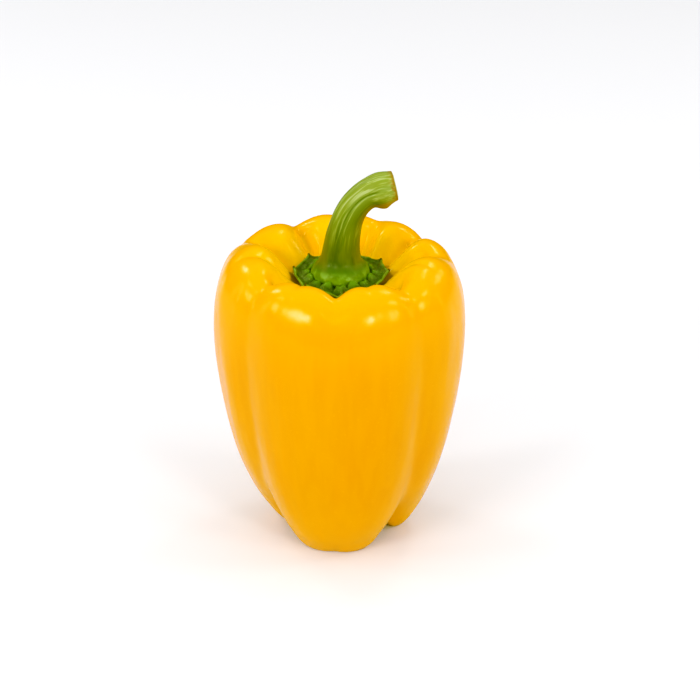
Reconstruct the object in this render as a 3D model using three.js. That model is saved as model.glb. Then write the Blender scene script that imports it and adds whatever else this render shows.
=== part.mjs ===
import * as THREE from 'three';
import { LoftGeometry } from 'three/addons/geometries/LoftGeometry.js';
import { mergeVertices } from 'three/addons/utils/BufferGeometryUtils.js';

// A yellow bell pepper standing upright on the feet of its lobes. Millimetres, +Z up, front towards -Y.
// The fruit is a surface of two parameters. Its bearing is the turn round the upright axis, in degrees
// from the front towards +X. Its place runs along the outline, from 0 in the middle of the base, over the
// foot, the side and the crest of the shoulder, to 1 in the middle of the top, where the stem sits.

// Outline of the fruit, as spline control points of radius and height
const BASE_DIMPLE = [[0, 8], [6, 7.2], [11, 4]];
const FOOT = [[15.5, -0.8], [20.6, -2.8], [26.2, 4]];
const SIDE = [[31, 13], [35.6, 25.5], [39, 39], [41.4, 53], [42.9, 67], [43.3, 80], [42.2, 91.5]];
const SHOULDER = [[39, 100.5], [33.4, 105.6], [27, 106.8]];
const THROAT = [[21.6, 103.6], [17.2, 97], [13.2, 92.9]];
const SEAT = [[6.8, 92.6], [0, 92.6]];
const OUTLINE = [...BASE_DIMPLE, ...FOOT, ...SIDE, ...SHOULDER, ...THROAT, ...SEAT];

// Three stretches of the outline that creases and swellings act on: middle of the stretch and its width,
// both as places, for the foot, the side and the crest
const STRETCHES = [[0.2, 0.12], [0.48, 0.2], [0.785, 0.095]];

// A crease has its bearing at the foot, side and crest, its width at the foot and crest in degrees, and
// its depth at the foot, side and crest
const crease = (bearings, widths, depths) => ({ bearings, widths, depths });
const LOBE_CREASES = [
  crease([56, 45, 40], [15, 9], [9, 3, 7]),
  crease([128, 126, 124], [16, 9], [9, 3.4, 7.5]),
  crease([207, 209, 209], [16, 9], [9, 3.4, 7.5]),
  crease([291, 308, 311], [15, 9], [9, 3, 6.5]),
];
const SHOULDER_CREASES = [
  crease([-6, -4, -5], [8, 6], [0.7, 0, 4.6]),
  crease([96, 94, 92], [12, 8], [0.5, 0.6, 6]),
  crease([172, 165, 157], [12, 8], [0.5, 0.4, 6]),
  crease([249, 249, 249], [12, 8], [0.5, 0.6, 6.5]),
];
const PLEATS = [
  crease([-27, -27, -27], [5, 5], [0, 0, 1.6]),
  crease([18, 18, 18], [5, 5], [0, 0, 1.4]),
  crease([66, 66, 66], [5, 5], [0, 0, 1.2]),
  crease([185, 185, 185], [5, 5], [0, 0, 1.5]),
  crease([285, 285, 280], [5, 6], [0, 0.3, 1.8]),
];
const CREASES = [...LOBE_CREASES, ...SHOULDER_CREASES, ...PLEATS];
const CREASE_SOFTNESS = 0.3;

// Broad swellings, and hollows where negative: bearing, width in degrees, amounts at foot, side and crest
const SWELLINGS = [
  { bearing: -4, width: 20, amounts: [0, 0, -2.6] },
  { bearing: -4, width: 50, amounts: [0, 0.3, -1.4] },
  { bearing: 92, width: 24, amounts: [2.6, 0, 0] },
  { bearing: 168, width: 24, amounts: [2.2, 0, 0] },
  { bearing: 250, width: 24, amounts: [2, 0, 0] },
  { bearing: 270, width: 36, amounts: [0, 0.6, 0] },
];

// Radius round the axis within which creases and swellings fade out
const SMOOTH_MIDDLE = 8;
const CHORD_REACH = 0.05;
const FRUIT_COLUMNS = 80;
const FRUIT_ROWS = 36;

// Calyx: a dished plate on the seat, with straight edges between small raised tips and a ring of knobs
// round the foot of the stem
const CALYX_TIPS = [4, 44, 88, 124, 172, 224, 268, 316];
const CALYX_REACH = 0.141;
const TIP_REACH = 0.009;
const TIP_WIDTH = 3.5;
const TIP_RISE = 0.6;
const RIM_RISE = 0.5;
const CALYX_CLEARANCE = 0.5;
const CALYX_CREASE_SHARE = 0.35;
const PLATE_THICKNESS = 1.6;
const RIM_THICKNESS = 0.8;
const KNOB_COUNT = 18;
const KNOB_RING = 0.7;
const KNOB_RING_WIDTH = 0.1;
const KNOB_RING_HEIGHT = 0.7;
const KNOB_HEIGHT = 1.7;
const KNOB_VARIATION = 0.3;
const KNOB_WAVES = 7;
const CALYX_COLUMNS = 90;
const UNDERSIDE_SHARES = [0, 0.4, 0.7, 0.86, 1];
const TOP_SHARES = [1, 0.92, 0.85, 0.8, 0.75, 0.7, 0.65, 0.6, 0.53, 0.4, 0];

// Stem: path through its middle, and its radius at the same points, from the foot to the cut end, with
// ribs along it and a bulge under the cut end, inside the bend
const STEM_PATH = [
  [0, 0, 95.1], [0, 0, 96.5], [0, 0, 98.6], [0, 0, 101.6], [0.3, 0, 106], [1.1, 0, 111.3],
  [2.5, 0, 116.2], [4.9, 0, 120.7], [8.6, 0.4, 124.2], [13.2, 0.8, 126], [17.9, 1.2, 127.3],
];
const STEM_RADII = [7.8, 9.8, 9.4, 7, 5.95, 5.5, 5.1, 4.8, 4.75, 5.9, 5.2];
const RIB_COUNT = 5;
const RIB_PHASE = 0.6;
const RIB_HEIGHT = 0.09;
const RIB_START = 1 / 6;
const BULGE_PLACE = 0.93;
const BULGE_LENGTH = 0.045;
const BULGE_WIDTH = 0.8;
const BULGE_HEIGHT = 1.2;
const STEM_COLUMNS = 20;
const STEM_ROWS = 26;

const { clamp, degToRad, euclideanModulo, smoothstep } = THREE.MathUtils;

// Turn from one bearing to another, between -180 and 180 degrees
function turn(bearing, middle) {
  return euclideanModulo(bearing - middle + 180, 360) - 180;
}

// Sum of one smooth bell for each stretch of the outline, with the given heights
function overStretches(place, heights) {
  return STRETCHES.reduce(
    (sum, [middle, width], i) => sum + heights[i] * Math.exp(-(((place - middle) / width) ** 2)),
    0,
  );
}

// Point of the outline, a cubic B-spline mirrored over the axis at both ends
function outlineAt(place) {
  if (place < 0 || place > 1) {
    const mirrored = outlineAt(place < 0 ? -place : 2 - place);
    return mirrored.set(-mirrored.x, mirrored.y);
  }
  const last = OUTLINE.length - 1;
  const start = Math.min(Math.floor(place * last), last - 1);
  const w = place * last - start;
  const control = (i) => {
    const [radius, height] = OUTLINE[last - Math.abs(last - Math.abs(i))];
    return new THREE.Vector2(i < 0 || i > last ? -radius : radius, height);
  };
  const weights = [(1 - w) ** 3, 3 * w ** 3 - 6 * w ** 2 + 4, -3 * w ** 3 + 3 * w ** 2 + 3 * w + 1, w ** 3];
  return weights.reduce(
    (sum, weight, i) => sum.addScaledVector(control(start - 1 + i), weight / 6),
    new THREE.Vector2(),
  );
}

// Way out of the fruit at a place, square to the chord between the places beside it
function outwardAt(place) {
  const chord = outlineAt(place + CHORD_REACH).sub(outlineAt(place - CHORD_REACH));
  return new THREE.Vector2(chord.y, -chord.x).normalize();
}

// Depth of a crease: largest along its own line, fading to both sides like a soft V
function creaseDepth({ bearings, widths, depths }, bearing, place) {
  const [foot, side, crest] = bearings;
  const [footWidth, crestWidth] = widths;
  const line = foot + (side - foot) * smoothstep(place, 0.2, 0.45)
    + (crest - side) * smoothstep(place, 0.45, 0.72);
  const width = footWidth + (crestWidth - footWidth) * smoothstep(place, 0.45, 0.75);
  const away = Math.hypot(turn(bearing, line) / width, CREASE_SOFTNESS) - CREASE_SOFTNESS;
  return overStretches(place, depths) * Math.exp(-away);
}

function swelling({ bearing: middle, width, amounts }, bearing, place) {
  return overStretches(place, amounts) * Math.exp(-((turn(bearing, middle) / width) ** 2));
}

// Point of the fruit's surface, or of a layer lifted from it, on which the feet are flat at height 0
function fruitPoint(bearing, place, creaseShare = 1, lift = 0) {
  const point = outlineAt(place);
  let relief = 0;
  for (const one of CREASES) relief -= creaseShare * creaseDepth(one, bearing, place);
  for (const one of SWELLINGS) relief += swelling(one, bearing, place);
  point.addScaledVector(outwardAt(place), lift + relief * smoothstep(point.x, 0, SMOOTH_MIDDLE));
  const angle = degToRad(bearing);
  return new THREE.Vector3(point.x * Math.sin(angle), -point.x * Math.cos(angle), Math.max(point.y, 0));
}

// Closed ring of points at even bearings
function ring(columns, pointAt) {
  return Array.from({ length: columns }, (_, i) => pointAt((i * 360) / columns));
}

// Loft whose first and last sections are single points, without the faces that collapse there
function closedLoft(sections) {
  const loft = new THREE.BufferGeometry().copy(new LoftGeometry(sections));
  loft.deleteAttribute('normal');
  loft.deleteAttribute('uv');
  const merged = mergeVertices(loft);
  const corners = merged.index.array;
  const kept = [];
  for (let i = 0; i < corners.length; i += 3) {
    const [a, b, c] = corners.subarray(i, i + 3);
    if (a !== b && b !== c && c !== a) kept.push(a, b, c);
  }
  merged.setIndex(kept);
  merged.computeVertexNormals();
  return merged;
}

function fruitGeometry() {
  const sections = [];
  for (let row = 0; row <= FRUIT_ROWS; row += 1) {
    sections.push(ring(FRUIT_COLUMNS, (bearing) => fruitPoint(bearing, row / FRUIT_ROWS)));
  }
  return closedLoft(sections);
}

// 1 on a tip of the calyx, fading to 0 beside it
function tipAt(bearing) {
  return Math.max(...CALYX_TIPS.map((tip) => Math.exp(-Math.abs(turn(bearing, tip)) / TIP_WIDTH)));
}

// Share of the outline that the calyx covers: a polygon with its corners drawn out to tips
function calyxReach(bearing) {
  const next = (i) => CALYX_TIPS[(i + 1) % CALYX_TIPS.length] + (i + 1 < CALYX_TIPS.length ? 0 : 360);
  const edges = CALYX_TIPS.map((tip, i) => ({ middle: (tip + next(i)) / 2, half: (next(i) - tip) / 2 }));
  const edge = edges.find(({ middle, half }) => Math.abs(turn(bearing, middle)) <= half);
  const along = degToRad(turn(bearing, edge.middle));
  return (CALYX_REACH * Math.cos(degToRad(edge.half))) / Math.cos(along) + TIP_REACH * tipAt(bearing);
}

// Thickness of the calyx at a share of the way from its middle to its rim
function calyxThickness(bearing, share) {
  const plate = THREE.MathUtils.lerp(PLATE_THICKNESS, RIM_THICKNESS, clamp((share - 0.6) / 0.4, 0, 1));
  const size = 1 - KNOB_VARIATION * (0.5 + 0.5 * Math.cos(degToRad(bearing) * KNOB_WAVES));
  const knob = size * Math.abs(Math.cos((degToRad(bearing) * KNOB_COUNT) / 2)) ** 0.8;
  const onRing = Math.exp(-(((share - KNOB_RING) / KNOB_RING_WIDTH) ** 2));
  return plate + (KNOB_RING_HEIGHT + KNOB_HEIGHT * knob) * onRing;
}

function calyxPoint(bearing, share, isTop) {
  const curl = (RIM_RISE + TIP_RISE * tipAt(bearing)) * clamp((share - 0.75) / 0.25, 0, 1) ** 2;
  const lift = CALYX_CLEARANCE + curl + (isTop ? calyxThickness(bearing, share) : 0);
  return fruitPoint(bearing, 1 - share * calyxReach(bearing), CALYX_CREASE_SHARE, lift);
}

function calyxGeometry() {
  const layer = (shares, isTop) => shares.map(
    (share) => ring(CALYX_COLUMNS, (bearing) => calyxPoint(bearing, share, isTop)),
  );
  return closedLoft([...layer(UNDERSIDE_SHARES, false), ...layer(TOP_SHARES, true)]);
}

function stemGeometry() {
  const path = new THREE.CatmullRomCurve3(
    STEM_PATH.map((point) => new THREE.Vector3(...point)),
    false,
    'catmullrom',
  );
  const radii = new THREE.SplineCurve(STEM_RADII.map((radius, i) => new THREE.Vector2(i, radius)));
  const sections = [ring(STEM_COLUMNS, () => path.getPoint(0))];
  for (let row = 0; row <= STEM_ROWS; row += 1) {
    const place = row / STEM_ROWS;
    const middle = path.getPoint(place);
    const tangent = path.getTangent(place);
    const across = new THREE.Vector3(0, 1, 0).cross(tangent).normalize();
    const up = tangent.clone().cross(across);
    const ribs = RIB_HEIGHT * clamp((place - RIB_START) / RIB_START, 0, 1);
    sections.push(ring(STEM_COLUMNS, (bearing) => {
      const angle = degToRad(bearing);
      const rib = Math.abs(Math.cos((RIB_COUNT * angle + RIB_PHASE) / 2)) ** 0.7 - 0.5;
      const fromBulge = Math.hypot(
        (place - BULGE_PLACE) / BULGE_LENGTH,
        degToRad(turn(bearing, 0)) / BULGE_WIDTH,
      );
      const bulge = BULGE_HEIGHT * Math.exp(-(fromBulge ** 2));
      const radius = radii.getPoint(place).y * (1 + ribs * rib) + bulge;
      return middle.clone()
        .addScaledVector(across, radius * Math.cos(angle))
        .addScaledVector(up, radius * Math.sin(angle));
    }));
  }
  sections.push(ring(STEM_COLUMNS, () => path.getPoint(1)));
  return closedLoft(sections);
}

function part(name, geometry, color, roughness) {
  const mesh = new THREE.Mesh(
    geometry,
    new THREE.MeshStandardMaterial({ color, roughness, metalness: 0 }),
  );
  mesh.name = name;
  return mesh;
}

const pepper = new THREE.Group();
pepper.add(part('fruit', fruitGeometry(), '#f7b400', 0.22));
pepper.add(part('calyx', calyxGeometry(), '#2f6b1c', 0.45));
pepper.add(part('stem', stemGeometry(), '#83a01f', 0.4));

// The origin is the middle of the box's base, on the surface that the pepper stands on
const box = new THREE.Box3().setFromObject(pepper);
const middle = box.getCenter(new THREE.Vector3());
pepper.position.set(-middle.x, -middle.y, -box.min.z);

export default pepper;
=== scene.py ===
import math

import bpy
import numpy as np
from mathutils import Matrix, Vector


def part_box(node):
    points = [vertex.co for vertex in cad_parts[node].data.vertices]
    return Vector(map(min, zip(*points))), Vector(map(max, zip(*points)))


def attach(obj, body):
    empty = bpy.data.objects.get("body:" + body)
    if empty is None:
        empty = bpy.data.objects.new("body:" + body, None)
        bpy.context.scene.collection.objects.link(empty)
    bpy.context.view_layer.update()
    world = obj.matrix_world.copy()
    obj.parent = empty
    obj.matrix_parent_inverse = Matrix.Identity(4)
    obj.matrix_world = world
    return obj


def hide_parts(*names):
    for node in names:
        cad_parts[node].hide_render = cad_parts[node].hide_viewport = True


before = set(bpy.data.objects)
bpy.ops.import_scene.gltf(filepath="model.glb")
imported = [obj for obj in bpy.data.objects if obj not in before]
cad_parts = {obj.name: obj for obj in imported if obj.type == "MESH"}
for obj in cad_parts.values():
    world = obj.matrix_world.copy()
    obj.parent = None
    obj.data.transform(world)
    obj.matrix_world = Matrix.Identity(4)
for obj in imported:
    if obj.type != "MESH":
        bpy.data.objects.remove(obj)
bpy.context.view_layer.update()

MM = 0.001

# The outline of the fruit, as spline control points of radius and height in millimetres
BASE_DIMPLE = [(0, 8), (6, 7.2), (11, 4)]
FOOT = [(15.5, -0.8), (20.6, -2.8), (26.2, 4)]
SIDE = [(31, 13), (35.6, 25.5), (39, 39), (41.4, 53), (42.9, 67), (43.3, 80), (42.2, 91.5)]
SHOULDER = [(39, 100.5), (33.4, 105.6), (27, 106.8)]
THROAT = [(21.6, 103.6), (17.2, 97), (13.2, 92.9)]
SEAT = [(6.8, 92.6), (0, 92.6)]
OUTLINE = BASE_DIMPLE + FOOT + SIDE + SHOULDER + THROAT + SEAT

# Foot, side and crest: the middle and the width of each stretch, as places along the outline
STRETCHES = [(0.2, 0.12), (0.48, 0.2), (0.785, 0.095)]

# A crease: bearings at foot, side and crest; widths at foot and crest; depths at foot, side and crest
LOBE_CREASES = [
    ((56, 45, 40), (15, 9), (9, 3.6, 7)),
    ((128, 126, 124), (16, 9), (9, 3.4, 7.5)),
    ((207, 209, 209), (16, 9), (9, 3.4, 7.5)),
    ((291, 308, 311), (15, 9), (9, 4.2, 6.5)),
]
SHOULDER_CREASES = [
    ((-6, -4, -2.5), (8, 4), (0.7, 0, 6.4)),
    ((96, 94, 92), (12, 8), (0.5, 0.6, 6)),
    ((172, 165, 157), (12, 8), (0.5, 0.4, 6)),
    ((249, 249, 249), (12, 8), (0.5, 0.6, 6.5)),
]
PLEATS = [
    ((-27, -27, -27), (5, 5), (0, 0, 1.6)),
    ((18, 18, 18), (5, 5), (0, 0, 1.4)),
    ((66, 66, 66), (5, 5), (0, 0, 1.2)),
    ((185, 185, 185), (5, 5), (0, 0, 1.5)),
    ((285, 285, 280), (5, 6), (0, 0.3, 1.8)),
]
CREASES = LOBE_CREASES + SHOULDER_CREASES + PLEATS
CREASE_SOFTNESS = 0.3

# A broad swelling, or a hollow where negative: bearing, width, amounts at foot, side and crest
SWELLINGS = [
    (-4, 20, (0, 0, -2.1)),
    (-4, 50, (0, 0.3, -1.4)),
    (92, 24, (2.6, 0, 0)),
    (168, 24, (2.2, 0, 0)),
    (250, 24, (2, 0, 0)),
    (270, 36, (0, 0.6, 0)),
    (186, 60, (0, 0, 0.9)),
]
SMOOTH_MIDDLE = 8.0
CHORD_REACH = 0.05
FRUIT_COLUMNS = 384
FRUIT_ROWS = 250

# The grid of the solid fruit, which is measured to find the solid's place in the frame
SOLID_COLUMNS = 80
SOLID_ROWS = 36

# Relief of the skin: broad and small dents, upright folds round the hollow of the stem, and how far the
# whole is drawn in, so that no dent stands proud
DENT_HEIGHT, DENT_LENGTH = 0.6, 16
SMALL_DENT_HEIGHT, SMALL_DENT_LENGTH = 0.1, 6
DENT_STRETCH = 0.45
FOLD_HEIGHT, FOLD_LENGTH = 0.9, 8
FOLD_RADIUS = 27
FOLD_START, FOLD_FULL = 0.74, 0.81
SKIN_INSET = 0.22

# The calyx: the bearings of its tips, then shares of the outline, degrees and millimetres
CALYX_TIPS = [4, 44, 88, 124, 172, 224, 268, 316]
CALYX_REACH = 0.141
TIP_REACH = 0.007
TIP_WIDTH = 2.6
TIP_RISE = 0.6
EDGE_BOW = 0.6
RIM_RISE = 0.5
CALYX_CLEARANCE = 0.5
CALYX_CREASE_SHARE = 0.35
PLATE_THICKNESS = 1.6
RIM_THICKNESS = 0.8
THINNING_START = 0.6
CURL_START = 0.75
KNOB_COUNT = 16
KNOB_RING = 0.69
KNOB_RING_WIDTH = 0.122
KNOB_RING_HEIGHT = 0.9
KNOB_HEIGHT = 2.2
KNOB_VARIATION = 0.3
KNOB_WAVES = 7
KNOB_CREASE = 0.12
KNOB_CREASE_WIDTH = 34
WRINKLE_HEIGHT, WRINKLE_LENGTH = 0.5, 5
FINE_WRINKLE_HEIGHT, FINE_WRINKLE_LENGTH = 0.25, 2
CALYX_COLUMNS = 450
CALYX_UNDER_ROWS = 25
CALYX_OVER_ROWS = 90

# How far the dry skin and the painted shade under the calyx reach out in the front lobe's crease:
# bearing, width, reach
DRY_SHADE_BEARING, DRY_SHADE_WIDTH, DRY_SHADE_REACH = -3, 6, 0.006

# The stem: its path and the radii along it, in millimetres, and the ribs and the bulge of its end
STEM_PATH = [
    (0, 0, 94.6), (0, 0, 96.1), (0, 0, 98.6), (0, 0, 101.6), (0.3, 0, 106), (1.1, 0, 111.3),
    (2.5, 0, 116.2), (4.9, 0, 120.7), (8.6, 0.4, 124.2), (13.2, 0.8, 126), (17.9, 1.2, 127.1),
]
STEM_RADII = [8.8, 9.9, 9.2, 6.9, 5.95, 5.5, 5.1, 4.8, 4.85, 5.5, 4.75]
RIB_COUNT = 5
RIB_PHASE = 0.6
RIB_HEIGHT = 0.09
RIB_START = 1 / 6
BULGE_PLACE = 0.9
BULGE_LENGTH = 0.06
BULGE_WIDTH = 0.8
BULGE_HEIGHT = 1.2
STEM_COLUMNS = 200
STEM_ROWS = 240

# Fine relief of the stem: lengthwise lines, the bumps of the foot and one narrow groove. The relief and
# the colour's streaks are laid out along lengths of their own
RELIEF_LENGTH = 49.263
STREAK_LENGTH = 39.0
LINE_HEIGHT, LINE_WIDTH, LINE_STRETCH = 0.11, 1.6, 0.08
FOOT_BUMP_HEIGHT, FOOT_BUMP_LENGTH = 0.35, 4.5
GROOVE_BEARING, GROOVE_SWING = 257, 14
GROOVE_WIDTH, GROOVE_DEPTH = 5, 0.32

# Shares of the radius at the rings that close the stem's two ends, and the height of the cut's dome
END_SHARES = (0.97, 0.92, 0.84, 0.7, 0.5, 0.25, 0.0)
CUT_DOME, CUT_HOLLOW = 0.5, 0.25

# Colours of the skin and of the scar of the flower, in linear light
SKIN_SIDE = (0.705, 0.286, 0.0)
# Painted shade in the creases, also used for the random blotches
SKIN_BLOTCH_AND_CREASE_SHADE = (0.67, 0.215, 0.0)
# Painted light at both ends of the fruit
SKIN_LIT_ENDS = (0.83, 0.375, 0.0)
# Painted light in the hollow round the stem
SKIN_LIT_THROAT = (0.87, 0.49, 0.0)
SKIN_STREAK = (0.78, 0.35, 0.002)
SKIN_SPECK = (0.82, 0.40, 0.02)
# Dry skin mixed with painted shade under the calyx
SKIN_DRY_AND_SHADE = (0.17, 0.085, 0.008)
SKIN_SHINE = (1.0, 0.9, 0.75)
SCAR_EDGE = (0.42, 0.30, 0.035)
SCAR = (0.13, 0.06, 0.02)

# Colours of the calyx
CALYX_DARK = (0.012, 0.048, 0.004)
CALYX_MID = (0.036, 0.105, 0.010)
CALYX_KNOB = (0.09, 0.25, 0.014)
# Painted shade in the groove round the stem and between the knobs
CALYX_GROOVE_SHADE = (0.008, 0.04, 0.002)
CALYX_RIM = (0.20, 0.36, 0.06)
CALYX_FLECK = (0.20, 0.30, 0.07)
CALYX_DRY_TIP = (0.05, 0.022, 0.006)

# Colours along the stem, from the foot at 0 to the cut at 1, and of what lies over them
STEM_COLOURS = [
    (0.0, (0.11, 0.24, 0.012)), (0.17, (0.10, 0.22, 0.01)), (0.24, (0.035, 0.12, 0.001)),
    (0.3, (0.018, 0.08, 0.001)), (0.38, (0.045, 0.095, 0.001)), (0.48, (0.06, 0.12, 0.004)),
    (0.62, (0.11, 0.185, 0.03)), (0.74, (0.14, 0.22, 0.05)), (1.0, (0.22, 0.30, 0.09)),
]
STEM_BROAD_STREAK = (0.21, 0.27, 0.03)
STEM_PALE_STREAK = (0.42, 0.50, 0.2)
STEM_DARK_STREAK = (0.06, 0.15, 0.003)
STEM_FOOT_SPOT = (0.22, 0.42, 0.12)
# Painted shade in the narrow groove
STEM_GROOVE_SHADE = (0.05, 0.12, 0.003)
STEM_DRY_END = (0.26, 0.12, 0.02)
# Painted shade on the inside of the bend
STEM_BEND_SHADE = (0.05, 0.11, 0.001)
STEM_BROWN = (0.30, 0.14, 0.008)
STEM_OLIVE = (0.17, 0.165, 0.002)

# Colours of the cut face, from its edge at 0 to its middle at 1
CUT_COLOURS = [
    (0.0, (0.18, 0.075, 0.015)), (0.1, (0.34, 0.33, 0.09)), (0.35, (0.50, 0.52, 0.22)),
    (1.0, (0.36, 0.40, 0.14)),
]

# The camera: where it looks, from how far and how steeply, and its lens
AIM = (3.2, 0.0, 67.4)
DISTANCE = 700.0
ELEVATION = 26.0
LENS = 105.5

# The light: each softbox's azimuth, elevation, width and height in degrees, and its radiance
SOFTBOX_DISTANCE = 1.2
SOFTBOX_AIM = (0, 0, 0.09)
SOFTBOXES = [
    ("softbox_far_left", -76, 22, 10, 15, 17.0),
    ("softbox_left", -42, 25, 21, 14, 23.5),
    ("softbox_top", -4, 38, 6, 9, 7.5),
    ("softbox_right", 31, 24, 11, 15, 27.0),
    ("softbox_far_right", 58, 18, 12, 16, 19.0),
    ("strip_left", -100, 12, 6, 28, 7.0),
    ("strip_right", 98, 12, 6, 28, 5.0),
    ("softbox_high_right", 80, 42, 10, 12, 15.0),
    ("softbox_high_left", -86, 46, 9, 10, 12.0),
    ("softbox_back_left", -134, 37, 12, 14, 12.5),
    ("softbox_back_right", 142, 52, 10, 12, 12.5),
    ("softbox_back_low", 120, 28, 9, 10, 9.0),
]
ROOM_LEVEL = 0.03
ROOM_OVERHEAD = 1.75
ROOM_AROUND = 0.25
BACKDROP = 1.7
FLOOR_HALF = 1.1
FLOOR_GREY = 0.78

EXPOSURE = -0.7

# The picture's blues, from linear light to shown light: the darkest are held back, which keeps a bright
# yellow pure
BLUE_CURVE = [(0.0, 0.0), (0.08, 0.002), (0.16, 0.022), (0.3, 0.125), (0.5, 0.43), (1.0, 1.0)]


def smoothstep(low, high, x):
    """0 below low, 1 above high, and 3x^2 - 2x^3 between."""
    x = np.clip((x - low) / (high - low), 0, 1)
    return x * x * (3 - 2 * x)


def turn(bearing, middle):
    """The turn from one bearing to another, between -180 and 180 degrees."""
    return (bearing - middle + 180) % 360 - 180


def over_stretches(place, heights):
    """The sum of one bell exp(-((place - middle) / width)^2) for each stretch, with the given heights."""
    bells = zip(heights, STRETCHES)
    return sum(height * np.exp(-(((place - middle) / width) ** 2)) for height, (middle, width) in bells)


def outline_at(place):
    """The outline's cubic B-spline at places from 0 to 1, mirrored over the axis past both ends."""
    beyond = (place < 0) | (place > 1)
    place = np.where(place < 0, -place, np.where(place > 1, 2 - place, place))
    points = np.array(OUTLINE, float)
    points = np.concatenate([points[1:2] * (-1, 1), points, points[-2:-1] * (-1, 1)])
    last = len(OUTLINE) - 1
    start = np.minimum((place * last).astype(int), last - 1)
    w = (place * last - start)[..., None]
    point = (1 - w) ** 3 * points[start] + (3 * w**3 - 6 * w**2 + 4) * points[start + 1]
    point += (-3 * w**3 + 3 * w**2 + 3 * w + 1) * points[start + 2] + w**3 * points[start + 3]
    point = point / 6
    point[..., 0] *= np.where(beyond, -1, 1)
    return point


def creases_at(bearing, place):
    """The summed creases, each depth * exp(-(hypot(turn / width, softness) - softness))."""
    depth = np.zeros(np.broadcast(bearing, place).shape)
    for (foot, side, crest), (foot_width, crest_width), depths in CREASES:
        line = foot + (side - foot) * smoothstep(0.2, 0.45, place)
        line = line + (crest - side) * smoothstep(0.45, 0.72, place)
        width = foot_width + (crest_width - foot_width) * smoothstep(0.45, 0.75, place)
        away = np.hypot(turn(bearing, line) / width, CREASE_SOFTNESS) - CREASE_SOFTNESS
        depth = depth + over_stretches(place, depths) * np.exp(-away)
    return depth


def swellings_at(bearing, place):
    """The summed swellings, each amount * exp(-(turn / width)^2)."""
    height = np.zeros(np.broadcast(bearing, place).shape)
    for middle, width, amounts in SWELLINGS:
        height = height + over_stretches(place, amounts) * np.exp(-((turn(bearing, middle) / width) ** 2))
    return height


def fruit_surface(bearing, place, crease_share=1.0, lift=0.0):
    """The outline's point moved out, square to its chord, by lift + swellings - creases, then turned to
    the bearing: (radius sin b, -radius cos b, height), with height never below 0."""
    bearing, place = np.broadcast_arrays(np.asarray(bearing, float), np.asarray(place, float))
    point = outline_at(place)
    chord = outline_at(place + CHORD_REACH) - outline_at(place - CHORD_REACH)
    outward = np.stack([chord[..., 1], -chord[..., 0]], -1)
    outward /= np.linalg.norm(outward, axis=-1, keepdims=True)
    relief = swellings_at(bearing, place) - crease_share * creases_at(bearing, place)
    out = lift + relief * smoothstep(0, SMOOTH_MIDDLE, point[..., 0])
    point = point + out[..., None] * outward
    angle = np.radians(bearing)
    height = np.maximum(point[..., 1], 0)
    return np.stack([point[..., 0] * np.sin(angle), -point[..., 0] * np.cos(angle), height], -1)


def waves(points, size, seed, count=10):
    """A smooth random field: the mean of sine waves of about the given wavelength in millimetres, in
    random directions and phases."""
    random = np.random.default_rng(seed)
    field = np.zeros(points.shape[:-1])
    for _ in range(count):
        direction = random.normal(size=3)
        direction *= 2 * math.pi / size / np.linalg.norm(direction) * random.uniform(0.7, 1.4)
        field += np.sin(points @ direction + random.uniform(0, 2 * math.pi))
    return field / count


def grid_normals(points):
    """Unit normals of a grid whose columns wrap round and whose rows run from pole to pole."""
    around = np.roll(points, -1, axis=1) - np.roll(points, 1, axis=1)
    along = np.gradient(points, axis=0)
    normal = np.cross(around, along)
    length = np.linalg.norm(normal, axis=-1, keepdims=True)
    return normal / np.maximum(length, 1e-9)


def make_piece(name, points, attributes, replaced, slot):
    """A closed piece from a grid of rows of rings in millimetres. Its first and last rows are single
    points. Each attribute is a value per grid point."""
    rows, columns, _ = points.shape
    body = points[1:-1].reshape(-1, 3)
    corners = np.concatenate([points[:1, 0], body, points[-1:, 0]])
    index = np.arange((rows - 2) * columns).reshape(rows - 2, columns) + 1
    right = np.roll(index, -1, axis=1)
    quads = np.stack([index[:-1], right[:-1], right[1:], index[1:]], -1).reshape(-1, 4)
    last = len(corners) - 1
    first_fan = np.stack([np.zeros(columns, int), right[0], index[0]], -1)
    last_fan = np.stack([np.full(columns, last), index[-1], right[-1]], -1)
    mesh = bpy.data.meshes.new(name)
    faces = first_fan.tolist() + quads.tolist() + last_fan.tolist()
    mesh.from_pydata(((corners + SHIFT) * MM).tolist(), [], faces)
    mesh.polygons.foreach_set("use_smooth", np.ones(len(faces), bool))
    for key, values in attributes.items():
        values = np.broadcast_to(values, (rows, columns))
        flat = np.concatenate([values[:1, 0], values[1:-1].reshape(-1), values[-1:, 0]])
        mesh.attributes.new(key, "FLOAT", "POINT").data.foreach_set("value", flat.astype(np.float32))
    mesh.update()
    piece = bpy.data.objects.new(name, mesh)
    bpy.context.scene.collection.objects.link(piece)
    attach(piece, "root")
    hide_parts(replaced)
    return piece


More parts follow.
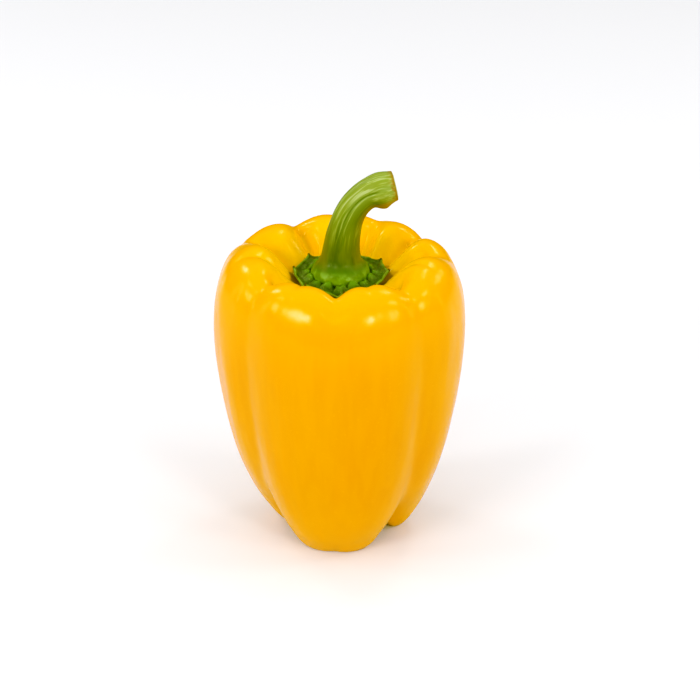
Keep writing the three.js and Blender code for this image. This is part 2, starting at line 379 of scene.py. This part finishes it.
def fruit_grid():
    """The fruit's surface at even bearings and places, moved along its normals by random waves: broad and
    small dents, and folds that change with the bearing alone, above the crest."""
    bearing = (np.arange(FRUIT_COLUMNS) * 360 / FRUIT_COLUMNS)[None, :]
    place = np.linspace(0, 1, FRUIT_ROWS + 1)[:, None]
    points = fruit_surface(bearing, place)
    stretched = points * (1, 1, DENT_STRETCH)
    dents = DENT_HEIGHT * waves(stretched, DENT_LENGTH, seed=3) - SKIN_INSET
    dents = dents + SMALL_DENT_HEIGHT * waves(stretched, SMALL_DENT_LENGTH, seed=5)
    angle = np.radians(bearing)
    fold_ring = np.stack([np.sin(angle), -np.cos(angle), 0 * angle], -1) * FOLD_RADIUS
    folds = FOLD_HEIGHT * waves(fold_ring, FOLD_LENGTH, seed=7, count=8)
    dents = dents + folds * smoothstep(FOLD_START, FOLD_FULL, place)
    from_axis = np.hypot(points[..., 0], points[..., 1])
    free = smoothstep(0.5, 6, points[..., 2]) * smoothstep(10, 20, from_axis)
    points = points + (dents * free)[..., None] * grid_normals(points)
    # Dry skin mixed with painted shade under the calyx's rim, reaching further into the front crease
    dry_and_shade = DRY_SHADE_REACH * np.exp(-((turn(bearing, DRY_SHADE_BEARING) / DRY_SHADE_WIDTH) ** 2))
    under = place - 1 + calyx_reach(bearing) + dry_and_shade
    return points, {"crease": creases_at(bearing, place), "place": place, "under": under}


def tip_at(bearing):
    """1 on a tip of the calyx, and exp(-|turn| / width) beside it."""
    return np.max([np.exp(-np.abs(turn(bearing, tip)) / TIP_WIDTH) for tip in CALYX_TIPS], axis=0)


def calyx_reach(bearing):
    """The share of the outline that the calyx covers: a bowed polygon's edge, reach * (cos(half) / cos(turn
    from the edge's middle))^bow, with its corners drawn out to tips."""
    reach = TIP_REACH * tip_at(bearing)
    for tip, following in zip(CALYX_TIPS, CALYX_TIPS[1:] + [CALYX_TIPS[0] + 360]):
        middle, half = (tip + following) / 2, (following - tip) / 2
        along = turn(bearing, middle)
        inside = (along > -half) & (along <= half)
        level = np.maximum(np.cos(np.radians(along)), 0.1)
        reach = reach + inside * CALYX_REACH * (math.cos(math.radians(half)) / level) ** EDGE_BOW
    return reach


def calyx_grid():
    """A plate lifted off the seat: the underside from the middle to the rim, and back over the top. The
    knobs are |cos|^0.6 bells round the ring, each with its own size and a small crease down its middle."""
    bearing = (np.arange(CALYX_COLUMNS) * 360 / CALYX_COLUMNS)[None, :]
    under, over = np.linspace(0, 1, CALYX_UNDER_ROWS), np.linspace(1, 0, CALYX_OVER_ROWS)
    share = np.concatenate([under, over])[:, None]
    is_top = (np.arange(len(share)) >= CALYX_UNDER_ROWS).astype(float)[:, None]
    tip = tip_at(bearing)
    thinning = np.clip((share - THINNING_START) / (1 - THINNING_START), 0, 1)
    thickness = PLATE_THICKNESS + (RIM_THICKNESS - PLATE_THICKNESS) * thinning
    size = 1 - KNOB_VARIATION * (0.5 + 0.5 * np.cos(np.radians(bearing) * KNOB_WAVES))
    knob = size * np.abs(np.cos(np.radians(bearing) * KNOB_COUNT / 2)) ** 0.6
    crease = KNOB_CREASE * np.exp(-((turn(bearing * KNOB_COUNT, 0) / KNOB_CREASE_WIDTH) ** 2))
    on_ring = np.exp(-(((share - KNOB_RING) / KNOB_RING_WIDTH) ** 2))
    thickness = thickness + (KNOB_RING_HEIGHT + KNOB_HEIGHT * (knob - crease)) * on_ring
    curl = (RIM_RISE + TIP_RISE * tip) * np.clip((share - CURL_START) / (1 - CURL_START), 0, 1) ** 2
    lift = CALYX_CLEARANCE + curl + is_top * thickness
    points = fruit_surface(bearing, 1 - share * calyx_reach(bearing), CALYX_CREASE_SHARE, lift)
    free = is_top * smoothstep(0.2, 0.5, share)
    wrinkles = WRINKLE_HEIGHT * waves(points, WRINKLE_LENGTH, seed=11)
    wrinkles = wrinkles + FINE_WRINKLE_HEIGHT * waves(points, FINE_WRINKLE_LENGTH, seed=12)
    points = points + (wrinkles * free)[..., None] * grid_normals(points)
    # The groove mask is painted shade: round the stem and in the hollows between the knobs
    shade_round_stem = np.exp(-(((share - 0.5) / 0.09) ** 2))
    attributes = {
        "rim": smoothstep(0.93, 0.995, share),
        "knob": is_top * on_ring * knob,
        "groove": is_top * np.maximum(shade_round_stem, on_ring * (1 - knob) ** 2),
        "tip": tip * smoothstep(0.9, 1.0, share),
    }
    return points, attributes


def spline(points, place):
    """The uniform Catmull-Rom curve through points, its ends run on by mirrored points."""
    points = np.array(points, float)
    points = np.concatenate([[2 * points[0] - points[1]], points, [2 * points[-1] - points[-2]]])
    last = len(points) - 3
    start = np.minimum((place * last).astype(int), last - 1)
    w = (place * last - start)[:, None]
    p0, p1, p2, p3 = (points[start + i] for i in range(4))
    v1, v2 = (p2 - p0) / 2, (p3 - p1) / 2
    return (2 * p1 - 2 * p2 + v1 + v2) * w**3 + (3 * p2 - 3 * p1 - 2 * v1 - v2) * w**2 + v1 * w + p1


def stem_grid():
    """Rings round the path, of radius r (1 + ribs (|cos((5 angle + phase) / 2)|^0.7 - 0.5)) + bulge, with
    fine lengthwise lines, a narrow groove between two ribs, bumps on the foot and a domed cut end."""
    place = np.linspace(0, 1, STEM_ROWS + 1)
    path = spline(STEM_PATH, place)
    radius = spline([(r,) for r in STEM_RADII], place)[:, 0]
    tangent = np.gradient(path, axis=0)
    tangent /= np.linalg.norm(tangent, axis=1, keepdims=True)
    across = np.cross((0.0, 1.0, 0.0), tangent)
    across /= np.linalg.norm(across, axis=1, keepdims=True)
    up = np.cross(tangent, across)
    bearing = (np.arange(STEM_COLUMNS) * 360 / STEM_COLUMNS)[None, :]
    angle = np.radians(bearing)
    at = place[:, None]
    ribs = RIB_HEIGHT * np.clip((at - RIB_START) / RIB_START, 0, 1)
    rib = np.abs(np.cos((RIB_COUNT * angle + RIB_PHASE) / 2)) ** 0.7 - 0.5
    bulge = np.hypot((at - BULGE_PLACE) / BULGE_LENGTH, np.radians(turn(bearing, 0)) / BULGE_WIDTH)
    radius = radius[:, None] * (1 + ribs * rib) + BULGE_HEIGHT * np.exp(-(bulge**2))
    sides = (radius * np.cos(angle), radius * np.sin(angle), RELIEF_LENGTH * at)
    straight = np.stack(np.broadcast_arrays(*sides), -1)
    lines = waves(straight * (1, 1, LINE_STRETCH), LINE_WIDTH, seed=21, count=14)
    lines = lines * smoothstep(0.2, 0.45, at)
    groove_line = GROOVE_BEARING + GROOVE_SWING * (at - 0.7)
    groove = np.exp(-((turn(bearing, groove_line) / GROOVE_WIDTH) ** 2))
    groove = groove * smoothstep(0.5, 0.62, at) * (1 - smoothstep(0.84, 0.95, at))
    bumps = waves(straight, FOOT_BUMP_LENGTH, seed=22) * (1 - smoothstep(0.2, 0.32, at))
    radius = radius + LINE_HEIGHT * lines - GROOVE_DEPTH * groove + FOOT_BUMP_HEIGHT * bumps
    spoke = across[:, None] * np.cos(angle)[..., None] + up[:, None] * np.sin(angle)[..., None]
    points = path[:, None] + radius[..., None] * spoke
    shares = np.array(END_SHARES)[:, None, None]
    start = path[0] + shares[::-1] * (points[:1] - path[0])
    dome = (CUT_DOME * (1 - shares**4) - CUT_HOLLOW * (shares < 0.6)) * tangent[-1]
    end = path[-1] + shares * (points[-1:] - path[-1]) + dome
    count = len(shares)
    ends = ((count, count), (0, 0))
    attributes = {
        "along": np.pad(at, ends, mode="edge"),
        "cut": np.concatenate([np.zeros(count + len(place)), 1 - shares[:, 0, 0]])[:, None],
        # The groove's mask also carries painted shade into the stem's colour
        "groove": np.pad(groove, ends),
        "line_x": np.pad(straight[..., 0], ends, mode="edge"),
        "line_y": np.pad(straight[..., 1], ends, mode="edge"),
    }
    return np.concatenate([start, points, end]), attributes


def add(tree, kind, inputs=None, **properties):
    """A new node with its properties and inputs set. An input is a value, or another node's output."""
    node = tree.nodes.new(kind)
    for key, value in properties.items():
        setattr(node, key, value)
    for key, value in (inputs or {}).items():
        if isinstance(value, bpy.types.NodeSocket):
            tree.links.new(value, node.inputs[key])
        else:
            node.inputs[key].default_value = value
    return node


def attribute(tree, name):
    return add(tree, "ShaderNodeAttribute", attribute_name=name).outputs["Fac"]


def ranged(tree, value, low, high, to_low=0.0, to_high=1.0):
    """The value mapped smoothly from low..high to to_low..to_high, and held beyond."""
    limits = {"Value": value, "From Min": low, "From Max": high, "To Min": to_low, "To Max": to_high}
    return add(tree, "ShaderNodeMapRange", limits, interpolation_type="SMOOTHSTEP").outputs["Result"]


def math_node(tree, operation, first, second=0.0):
    return add(tree, "ShaderNodeMath", {0: first, 1: second}, operation=operation).outputs[0]


def product(tree, first, second):
    return math_node(tree, "MULTIPLY", first, second)


def mixed(tree, factor, first, second):
    """Two colours mixed by the factor. A colour is (red, green, blue), or a node's output."""
    inputs = {"Factor": factor}
    for key, colour in (("A", first), ("B", second)):
        inputs[key] = (*colour, 1) if isinstance(colour, tuple) else colour
    return add(tree, "ShaderNodeMix", inputs, data_type="RGBA").outputs["Result"]


def ramped(tree, value, stops):
    """A colour ramp through (position, colour) stops."""
    ramp = add(tree, "ShaderNodeValToRGB", {"Fac": value})
    elements = ramp.color_ramp.elements
    elements[0].position, elements[0].color = stops[0][0], (*stops[0][1], 1)
    elements[1].position, elements[1].color = stops[-1][0], (*stops[-1][1], 1)
    for position, colour in stops[1:-1]:
        elements.new(position).color = (*colour, 1)
    return ramp.outputs["Color"]


def mottle_group():
    """Noise in object space, with grains of Size millimetres that are drawn out along Z by Stretch: as it
    is, and as a mask mapped smoothly from Low and High to To Low and To High."""
    tree = bpy.data.node_groups.new("mottle", "ShaderNodeTree")
    for name in ("Size", "Stretch", "Detail", "Low", "High", "To Low", "To High"):
        tree.interface.new_socket(name, in_out="INPUT", socket_type="NodeSocketFloat")
    for name in ("Noise", "Mask"):
        tree.interface.new_socket(name, in_out="OUTPUT", socket_type="NodeSocketFloat")
    given = add(tree, "NodeGroupInput").outputs
    level = math_node(tree, "DIVIDE", 1 / MM, given["Size"])
    upright = math_node(tree, "DIVIDE", level, given["Stretch"])
    scale = add(tree, "ShaderNodeCombineXYZ", {"X": level, "Y": level, "Z": upright}).outputs["Vector"]
    place = add(tree, "ShaderNodeTexCoord").outputs["Object"]
    scaled = add(tree, "ShaderNodeVectorMath", {0: place, 1: scale}, operation="MULTIPLY").outputs["Vector"]
    inputs = {"Vector": scaled, "Scale": 1.0, "Detail": given["Detail"]}
    noise = add(tree, "ShaderNodeTexNoise", inputs).outputs["Fac"]
    mask = ranged(tree, noise, given["Low"], given["High"], given["To Low"], given["To High"])
    add(tree, "NodeGroupOutput", {"Noise": noise, "Mask": mask})
    return tree


def mottle(tree, size, stretch=1.0, detail=2.0, limits=(0.0, 1.0), to=(0.0, 1.0)):
    """The mottle group with its own values. It has the outputs Noise and Mask."""
    inputs = {"Size": size, "Stretch": stretch, "Detail": detail}
    inputs |= {"Low": limits[0], "High": limits[1], "To Low": to[0], "To High": to[1]}
    node = tree.nodes.new("ShaderNodeGroup")
    node.node_tree = MOTTLE
    for key, value in inputs.items():
        node.inputs[key].default_value = value
    return node.outputs


def bumped(tree, height, distance, normal=None):
    """A bump of the given height in millimetres."""
    inputs = {"Height": height, "Distance": distance * MM, "Strength": 1.0}
    if normal:
        inputs["Normal"] = normal
    return add(tree, "ShaderNodeBump", inputs).outputs["Normal"]


def material(name, specular):
    """A new material, its node tree and its main shader."""
    made = bpy.data.materials.new(name)
    made.use_nodes = True
    shader = made.node_tree.nodes["Principled BSDF"]
    shader.inputs["Specular IOR Level"].default_value = specular
    return made, made.node_tree, shader


def connect(tree, shader, colour, roughness, normal):
    tree.links.new(colour, shader.inputs["Base Color"])
    tree.links.new(roughness, shader.inputs["Roughness"])
    tree.links.new(normal, shader.inputs["Normal"])


def skin_material():
    """Yellow, with faint blotches, lengthwise streaks and fine pale specks. Painted shade deepens it to
    orange in the creases, and painted light makes it lighter at both ends and in the hollow round the stem.
    It is dry under the calyx, mixed there with painted shade, and dry at the scar of the base."""
    made, tree, shader = material("pepper_skin", 0.42)
    shader.inputs["Specular Tint"].default_value = (*SKIN_SHINE, 1)
    # Painted shade: deeper orange in the creases, added to random blotches
    crease = ranged(tree, attribute(tree, "crease"), 2.0, 9.0, 0, 0.55)
    blotch = mottle(tree, 34, 1.6, limits=(0.35, 0.7), to=(0, 0.3))["Mask"]
    colour = mixed(tree, math_node(tree, "ADD", crease, blotch), SKIN_SIDE, SKIN_BLOTCH_AND_CREASE_SHADE)
    place = attribute(tree, "place")
    # Painted light: lighter towards the base and over the upward-facing shoulders
    lit_base_end = ranged(tree, place, 0.4, 0.2, 0, 0.8)
    lit_top_end = ranged(tree, place, 0.5, 0.72, 0, 0.9)
    colour = mixed(tree, math_node(tree, "ADD", lit_base_end, lit_top_end), colour, SKIN_LIT_ENDS)
    # Painted light: lighter yellow in the hollow round the stem
    colour = mixed(tree, ranged(tree, place, 0.71, 0.79, 0, 0.85), colour, SKIN_LIT_THROAT)
    streak = mottle(tree, 3.2, 9, 3, (0.3, 0.7), (0, 0.22))["Mask"]
    colour = mixed(tree, streak, colour, SKIN_STREAK)
    speck = mottle(tree, 0.9, 1, 1, (0.62, 0.75), (0, 0.16))["Mask"]
    colour = mixed(tree, speck, colour, SKIN_SPECK)
    # Dry skin mixed with painted shade in the gap under the calyx
    dry_and_shade = ranged(tree, attribute(tree, "under"), -0.002, 0.005, 0, 0.65)
    colour = mixed(tree, dry_and_shade, colour, SKIN_DRY_AND_SHADE)
    ragged = mottle(tree, 1.6, 1, 3, (0.3, 0.7), (-0.006, 0.006))["Mask"]
    from_scar = math_node(tree, "ADD", place, ragged)
    colour = mixed(tree, ranged(tree, from_scar, 0.05, 0.026, 0, 0.6), colour, SCAR_EDGE)
    colour = mixed(tree, ranged(tree, from_scar, 0.024, 0.017), colour, SCAR)
    roughness = mottle(tree, 9, 2, 3, (0.3, 0.7), (0.2, 0.27))["Mask"]
    roughness = math_node(tree, "MAXIMUM", roughness, ranged(tree, from_scar, 0.028, 0.018, 0, 0.75))
    ripple = bumped(tree, mottle(tree, 5.5, 4, 1)["Noise"], 0.24)
    pores = bumped(tree, mottle(tree, 1.1, 1, 2)["Noise"], 0.02, ripple)
    connect(tree, shader, colour, roughness, pores)
    return made


def calyx_material():
    """Mid green, paler on the knobs, with painted shade darkening the groove round the stem and the hollows
    between the knobs, and with pale flecks, a thin pale rim and dry brown tips."""
    made, tree, shader = material("calyx_green", 0.4)
    mottling = mottle(tree, 1.7, 1, 4, (0.32, 0.68))["Mask"]
    colour = mixed(tree, mottling, CALYX_DARK, CALYX_MID)
    colour = mixed(tree, ranged(tree, attribute(tree, "knob"), 0.25, 0.9, 0, 0.8), colour, CALYX_KNOB)
    # Painted shade in the groove round the stem and between the knobs
    colour = mixed(tree, ranged(tree, attribute(tree, "groove"), 0.2, 0.9, 0, 0.7), colour, CALYX_GROOVE_SHADE)
    colour = mixed(tree, ranged(tree, attribute(tree, "rim"), 0.3, 0.95, 0, 0.6), colour, CALYX_RIM)
    fleck = mottle(tree, 0.8, 1, 1, (0.64, 0.74), (0, 0.5))["Mask"]
    colour = mixed(tree, fleck, colour, CALYX_FLECK)
    colour = mixed(tree, ranged(tree, attribute(tree, "tip"), 0.45, 0.8, 0, 0.95), colour, CALYX_DRY_TIP)
    roughness = mottle(tree, 3, 1, 2, (0.3, 0.7), (0.34, 0.5))["Mask"]
    veins = bumped(tree, mottle(tree, 1.5, 1, 3)["Noise"], 0.25)
    grain = bumped(tree, mottle(tree, 0.5, 1, 2)["Noise"], 0.02, veins)
    connect(tree, shader, colour, roughness, grain)
    return made


def lengthwise(tree, size, stretch):
    """Noise drawn out along the stem, from its own place round and along the stem."""
    parts = {"X": attribute(tree, "line_x"), "Y": attribute(tree, "line_y")}
    parts["Z"] = product(tree, attribute(tree, "along"), STREAK_LENGTH / stretch)
    place = add(tree, "ShaderNodeCombineXYZ", parts).outputs["Vector"]
    inputs = {"Vector": place, "Scale": 1 / size, "Detail": 3.0}
    return add(tree, "ShaderNodeTexNoise", inputs).outputs["Fac"]


def stem_material():
    """Bright green at the foot, dark above it and paler towards the cut end, with lengthwise streaks,
    pale spots on the foot, olive sides low down, painted shade on the inside of the bend, brown under the
    end, painted shade in a narrow groove and a dry brown edge round the cut."""
    made, tree, shader = material("stem_green", 0.35)
    along = attribute(tree, "along")
    aside = attribute(tree, "line_x")
    colour = ramped(tree, along, STEM_COLOURS)
    broad = ranged(tree, lengthwise(tree, 2.6, 14), 0.35, 0.68, 0, 0.45)
    broad = product(tree, broad, ranged(tree, along, 0.2, 0.4))
    colour = mixed(tree, broad, colour, STEM_BROAD_STREAK)
    pale = ranged(tree, lengthwise(tree, 0.75, 18), 0.46, 0.68, 0, 0.75)
    colour = mixed(tree, product(tree, pale, ranged(tree, along, 0.3, 0.75)), colour, STEM_PALE_STREAK)
    dark = ranged(tree, lengthwise(tree, 1.1, 16), 0.4, 0.28, 0, 0.5)
    colour = mixed(tree, dark, colour, STEM_DARK_STREAK)
    spots = mottle(tree, 2.8, 1, 2, (0.46, 0.64), (0, 0.6))["Mask"]
    colour = mixed(tree, product(tree, spots, ranged(tree, along, 0.26, 0.16)), colour, STEM_FOOT_SPOT)
    # Painted shade darkens the narrow groove
    groove = ranged(tree, attribute(tree, "groove"), 0.35, 0.9, 0, 0.8)
    colour = mixed(tree, groove, colour, STEM_GROOVE_SHADE)
    ragged = mottle(tree, 1.2, 1, 3, (0.3, 0.7), (-0.012, 0.012))["Mask"]
    dry_end = ranged(tree, math_node(tree, "ADD", along, ragged), 0.964, 0.995, 0, 0.9)
    colour = mixed(tree, dry_end, colour, STEM_DRY_END)
    # Painted shade on the inside of the bend
    bend_shade_span = product(tree, ranged(tree, along, 0.5, 0.64), ranged(tree, along, 0.94, 0.84))
    inside = product(tree, ranged(tree, aside, -0.5, 2.8, 0, 0.65), bend_shade_span)
    colour = mixed(tree, inside, colour, STEM_BEND_SHADE)
    brown = product(tree, ranged(tree, aside, 2.6, 4.9, 0, 0.75), ranged(tree, along, 0.45, 0.75))
    colour = mixed(tree, brown, colour, STEM_BROWN)
    olive = ranged(tree, math_node(tree, "ABSOLUTE", aside), 3.4, 5.6, 0, 0.6)
    on_neck = product(tree, ranged(tree, along, 0.2, 0.32), ranged(tree, along, 0.62, 0.5))
    colour = mixed(tree, product(tree, olive, on_neck), colour, STEM_OLIVE)
    cut = attribute(tree, "cut")
    colour = mixed(tree, ranged(tree, cut, 0.0, 0.04), colour, ramped(tree, cut, CUT_COLOURS))
    roughness = ranged(tree, lengthwise(tree, 1.5, 6), 0.3, 0.7, 0.36, 0.5)
    grain = bumped(tree, lengthwise(tree, 0.5, 12), 0.05)
    connect(tree, shader, colour, roughness, grain)
    return made


def softbox(name, azimuth, elevation, width, height, radiance):
    """A softbox seen from the top of the fruit at an azimuth (0 is the camera's side, 90 the right) and
    an elevation in degrees, as wide and high as the given angles."""
    azimuth, elevation = math.radians(azimuth), math.radians(elevation)
    level = math.cos(elevation)
    way = Vector((math.sin(azimuth) * level, -math.cos(azimuth) * level, math.sin(elevation)))
    light = bpy.data.lights.new(name, "AREA")
    light.shape = "RECTANGLE"
    light.size = 2 * SOFTBOX_DISTANCE * math.tan(math.radians(width) / 2)
    light.size_y = 2 * SOFTBOX_DISTANCE * math.tan(math.radians(height) / 2)
    light.energy = radiance * math.pi * light.size * light.size_y
    holder = bpy.data.objects.new(name, light)
    holder.location = Vector(SOFTBOX_AIM) + way * SOFTBOX_DISTANCE
    holder.rotation_euler = way.to_track_quat("Z", "Y").to_euler()
    bpy.context.scene.collection.objects.link(holder)


def floor():
    """A pale, matt, square floor."""
    mesh = bpy.data.meshes.new("floor")
    corners = [(x * FLOOR_HALF, y * FLOOR_HALF, 0) for x, y in ((-1, -1), (1, -1), (1, 1), (-1, 1))]
    mesh.from_pydata(corners, [], [(0, 1, 2, 3)])
    holder = bpy.data.objects.new("floor", mesh)
    bpy.context.scene.collection.objects.link(holder)
    made, _, shader = material("pale_floor", 0.2)
    shader.inputs["Roughness"].default_value = 0.8
    shader.inputs["Base Color"].default_value = (FLOOR_GREY, FLOOR_GREY, FLOOR_GREY, 1)
    holder.data.materials.append(made)


def room():
    """A room that is brighter overhead and darkest behind the camera, which sees its own backdrop."""
    world = bpy.data.worlds.new("studio")
    bpy.context.scene.world = world
    world.use_nodes = True
    tree = world.node_tree
    way = add(tree, "ShaderNodeTexCoord").outputs["Generated"]
    parts = add(tree, "ShaderNodeSeparateXYZ", {0: way}).outputs
    overhead = ranged(tree, parts["Z"], 0.2, 1.0, ROOM_LEVEL, ROOM_OVERHEAD)
    around = ranged(tree, parts["Y"], -0.5, 0.7, 0, ROOM_AROUND)
    strength = math_node(tree, "ADD", overhead, around)
    seen = add(tree, "ShaderNodeLightPath").outputs["Is Camera Ray"]
    strength = add(tree, "ShaderNodeMix", {"Factor": seen, "A": strength, "B": BACKDROP}).outputs["Result"]
    tree.links.new(strength, tree.nodes["Background"].inputs["Strength"])
    tree.nodes["Background"].inputs["Color"].default_value = (1, 1, 1, 1)


def camera():
    """A camera that looks at the middle of the whole from the front and above."""
    made = bpy.data.cameras.new("camera")
    made.lens = LENS
    made.sensor_width = 36
    holder = bpy.data.objects.new("camera", made)
    elevation = math.radians(ELEVATION)
    back = Vector((0, -math.cos(elevation), math.sin(elevation)))
    holder.location = (Vector(AIM) + Vector(SHIFT)) * MM + back * DISTANCE * MM
    holder.rotation_euler = (-back).to_track_quat("-Z", "Y").to_euler()
    bpy.context.scene.collection.objects.link(holder)
    bpy.context.scene.camera = holder


def plan_shift():
    """The level move that puts the middle of the fruit's box over the middle of its node's box."""
    bearing = (np.arange(SOLID_COLUMNS) * 360 / SOLID_COLUMNS)[None, :]
    points = fruit_surface(bearing, np.linspace(0, 1, SOLID_ROWS + 1)[:, None]).reshape(-1, 3)
    low, high = np.array(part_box("fruit")) / MM
    middle = (points.min(axis=0) + points.max(axis=0)) / 2
    return ((low + high) / 2 - middle) * (1, 1, 0)


def grading():
    """The picture's exposure and its curve for the blues."""
    view = bpy.context.scene.view_settings
    view.view_transform = "Standard"
    view.exposure = EXPOSURE
    view.use_curve_mapping = True
    blues = view.curve_mapping.curves[2]
    blues.points[0].location, blues.points[-1].location = BLUE_CURVE[0], BLUE_CURVE[-1]
    for point in BLUE_CURVE[1:-1]:
        blues.points.new(*point)
    view.curve_mapping.update()


SHIFT = plan_shift()
MOTTLE = mottle_group()
camera()
floor()
room()
for box in SOFTBOXES:
    softbox(*box)
fruit = make_piece("fruit_skin", *fruit_grid(), "fruit", "skin")
fruit.data.materials.append(skin_material())
calyx = make_piece("calyx_plate", *calyx_grid(), "calyx", "calyx")
calyx.data.materials.append(calyx_material())
stem = make_piece("stem_stalk", *stem_grid(), "stem", "stem")
stem.data.materials.append(stem_material())
grading()
